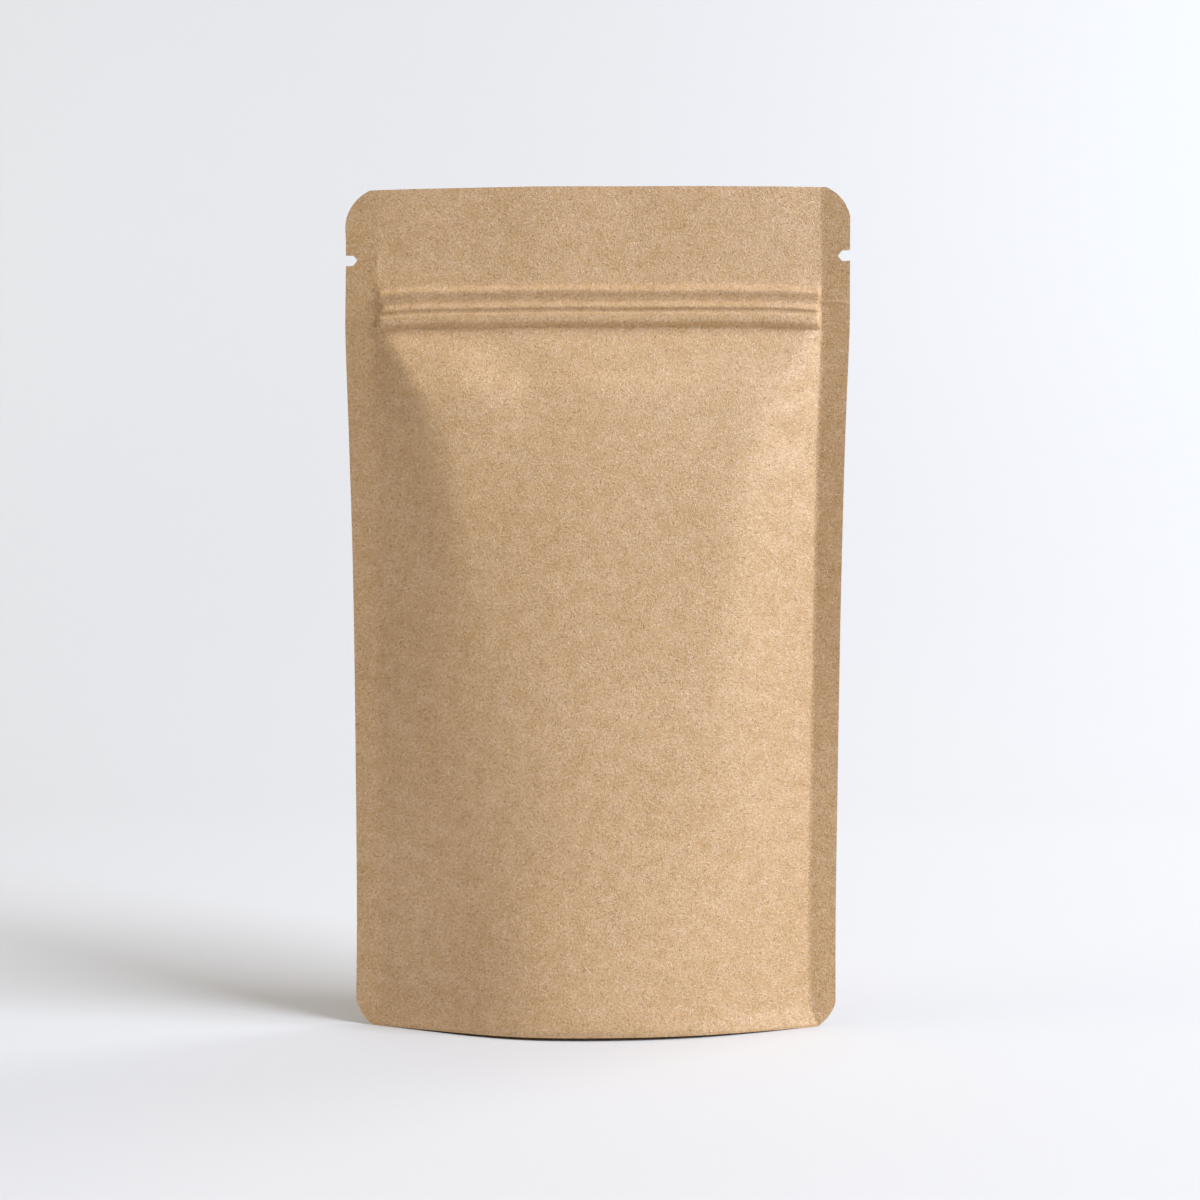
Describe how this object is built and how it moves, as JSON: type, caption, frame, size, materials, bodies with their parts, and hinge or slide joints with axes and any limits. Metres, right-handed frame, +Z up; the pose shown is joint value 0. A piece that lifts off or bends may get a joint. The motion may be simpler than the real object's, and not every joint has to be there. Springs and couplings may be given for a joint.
{
  "type": "kraft paper stand-up pouch",
  "caption": "Filled stand-up pouch of kraft paper with heat-sealed sides, rounded corners, tear notches, a press-zip and a gusset base.",
  "frame": {"origin": "on the floor, under the middle of the base", "axes": "+Z up, front panel towards -Y, width along X"},
  "size_m": [0.12, 0.0324, 0.1985],
  "materials": {
    "kraft": "matt brown kraft paper"
  },
  "bodies": {
    "root": {"pouch": "kraft"}
  },
  "joints": []
}
